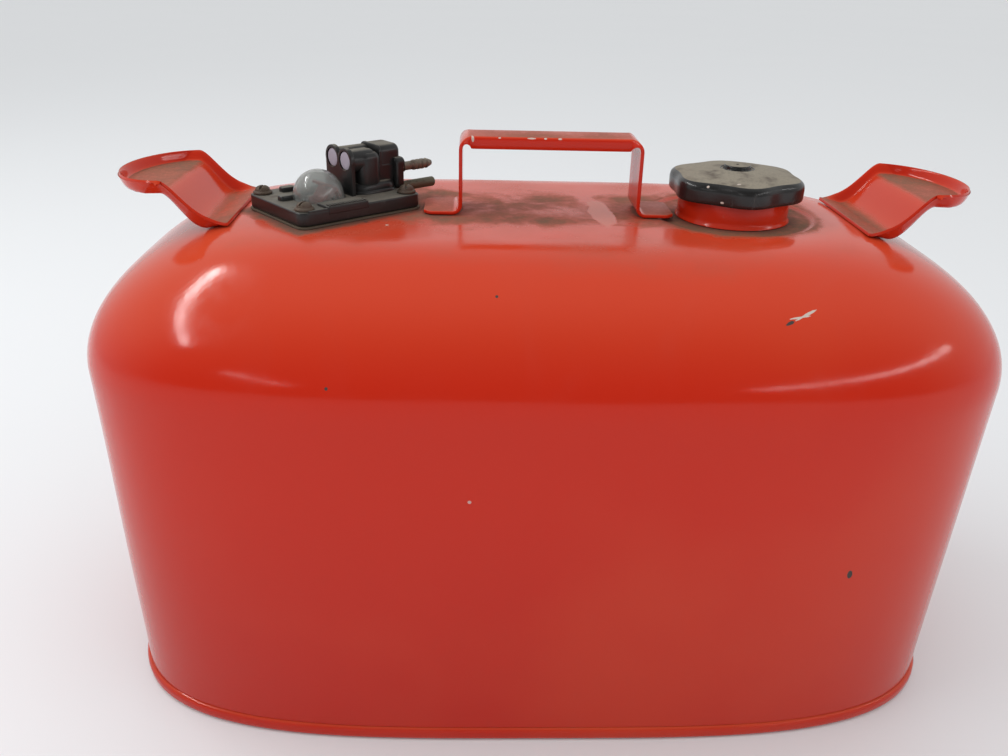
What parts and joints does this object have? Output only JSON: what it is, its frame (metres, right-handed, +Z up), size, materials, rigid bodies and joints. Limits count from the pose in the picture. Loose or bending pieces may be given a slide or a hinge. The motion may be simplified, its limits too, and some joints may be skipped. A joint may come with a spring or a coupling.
{
  "type": "outboard fuel tank",
  "caption": "Red portable steel fuel tank with a strap handle, hose hooks, a vented bayonet filler cap and a combined float gauge and hose outlet on top.",
  "frame": {"origin": "middle of the base, on the surface that the tank stands on", "axes": "+X along the tank towards the filler, -Y the front in the picture, +Z up"},
  "size_m": [0.458, 0.256, 0.285],
  "materials": {
    "red_enamel": "glossy red-orange enamel, worn and dusty",
    "black_plastic": "moulded, half gloss",
    "black_rubber": "matt",
    "zinc_steel": "dull zinc plate",
    "rusty_steel": "plating gone, light rust",
    "brass": "drawn tube",
    "clear_plastic": "clear, slightly hazy",
    "plug_plastic": "smooth",
    "dial_red": "matt",
    "cork": "varnished cork"
  },
  "bodies": {
    "tank": {"tank_shell": "red_enamel", "base_pan": "red_enamel", "handle": "red_enamel", "hose_hook_left": "red_enamel", "hose_hook_right": "red_enamel", "filler_neck": "red_enamel", "upper_housing": "black_plastic", "housing_gasket": "black_rubber", "housing_screw_1": "rusty_steel", "housing_screw_2": "rusty_steel", "housing_screw_3": "rusty_steel", "housing_screw_4": "rusty_steel", "gauge_lens": "clear_plastic", "lens_seal": "black_rubber", "bore_plug_front": "plug_plastic", "bore_plug_back": "plug_plastic", "fuel_nipple": "zinc_steel", "guide_pin": "zinc_steel", "pickup_tube": "brass", "pickup_screen": "zinc_steel", "gauge_bracket": "zinc_steel", "bracket_screw": "zinc_steel"},
    "cap_carrier": {"cap_gasket": "black_rubber"},
    "cap": {"cap_shell": "black_plastic", "cap_stud": "zinc_steel", "cap_lock_bar": "zinc_steel", "cap_spring": "zinc_steel", "vent_spring": "zinc_steel"},
    "cap_vent": {"vent_disc": "black_rubber"},
    "float_arm": {"float_arm": "zinc_steel", "float": "cork", "gauge_indicator": "dial_red"}
  },
  "joints": [
    {"name": "cap_lift", "type": "slide", "parent": "tank", "child": "cap_carrier", "axis": [0, 0, 1], "range_m": [0, 0.06]},
    {"name": "cap_turn", "type": "hinge", "parent": "cap_carrier", "child": "cap", "pos_m": [0.0977, 0, 0.26], "axis": [0, 0, -1], "range_deg": [0, 75]},
    {"name": "vent_valve", "type": "slide", "parent": "cap", "child": "cap_vent", "axis": [0, 0, -1], "range_m": [0, 0.0008], "stiffness_N_per_m": 60, "springref_m": -0.0005, "deforming": ["vent_spring"]},
    {"name": "float_swing", "type": "hinge", "parent": "tank", "child": "float_arm", "pos_m": [-0.11678, -0.01291, 0.251], "axis": [0.6428, -0.766, 0], "range_deg": [0, 74]}
  ]
}
